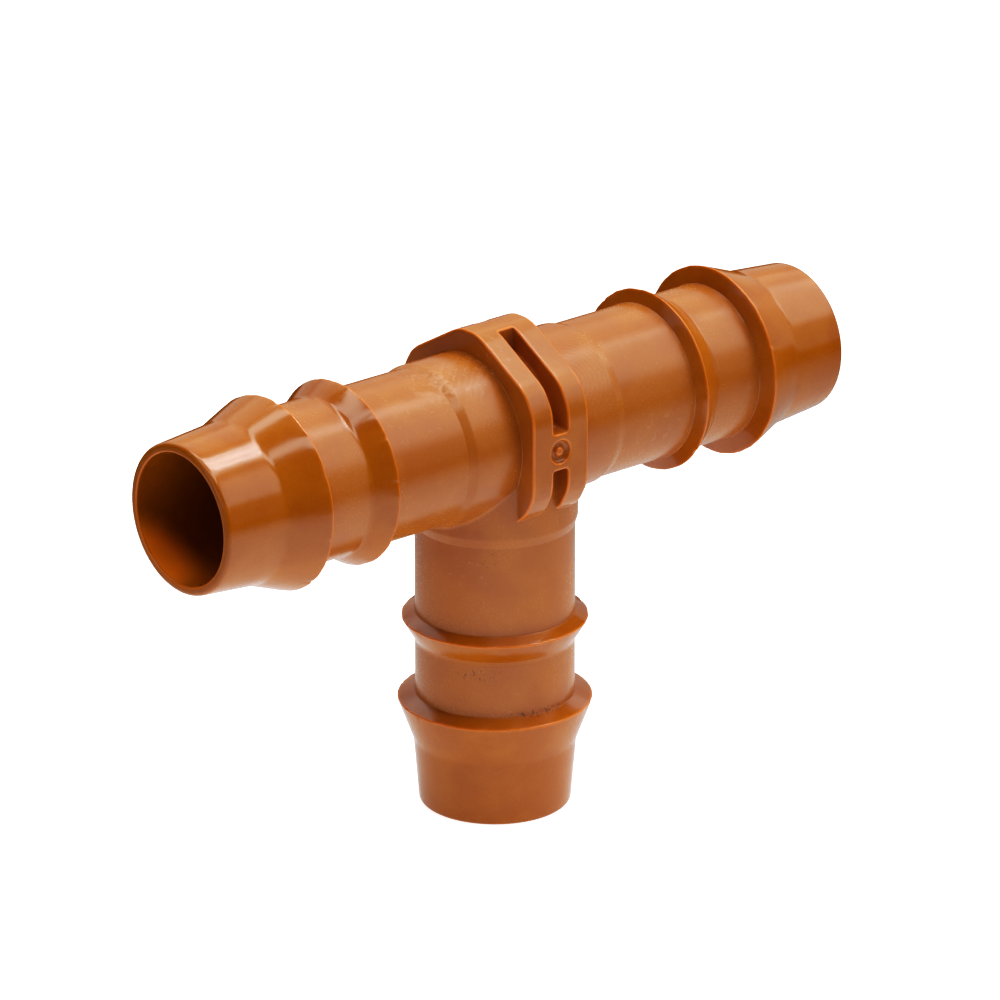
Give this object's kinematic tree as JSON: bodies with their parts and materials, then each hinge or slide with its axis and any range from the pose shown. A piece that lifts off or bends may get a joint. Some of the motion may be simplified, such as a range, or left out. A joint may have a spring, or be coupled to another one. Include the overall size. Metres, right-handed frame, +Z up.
{
  "type": "barbed irrigation tee",
  "caption": "Equal tee with barbed arms that joins small irrigation hose, with a hexagonal grip collar round the run and one waterway through it.",
  "frame": {"origin": "where the axes of the run and the branch cross", "axes": "+X along the run towards the right arm, +Z up with the branch pointing down, +Y towards the side without the gate mark"},
  "size_m": [0.0698, 0.0174, 0.0443],
  "materials": {
    "tee_plastic": "glossy caramel-brown moulded plastic, slightly translucent at thin edges, with faint flow marks round the hub"
  },
  "bodies": {
    "root": {"tee_body": "tee_plastic", "grip_collar": "tee_plastic", "left_spigot": "tee_plastic", "right_spigot": "tee_plastic", "branch_spigot": "tee_plastic"}
  },
  "joints": []
}
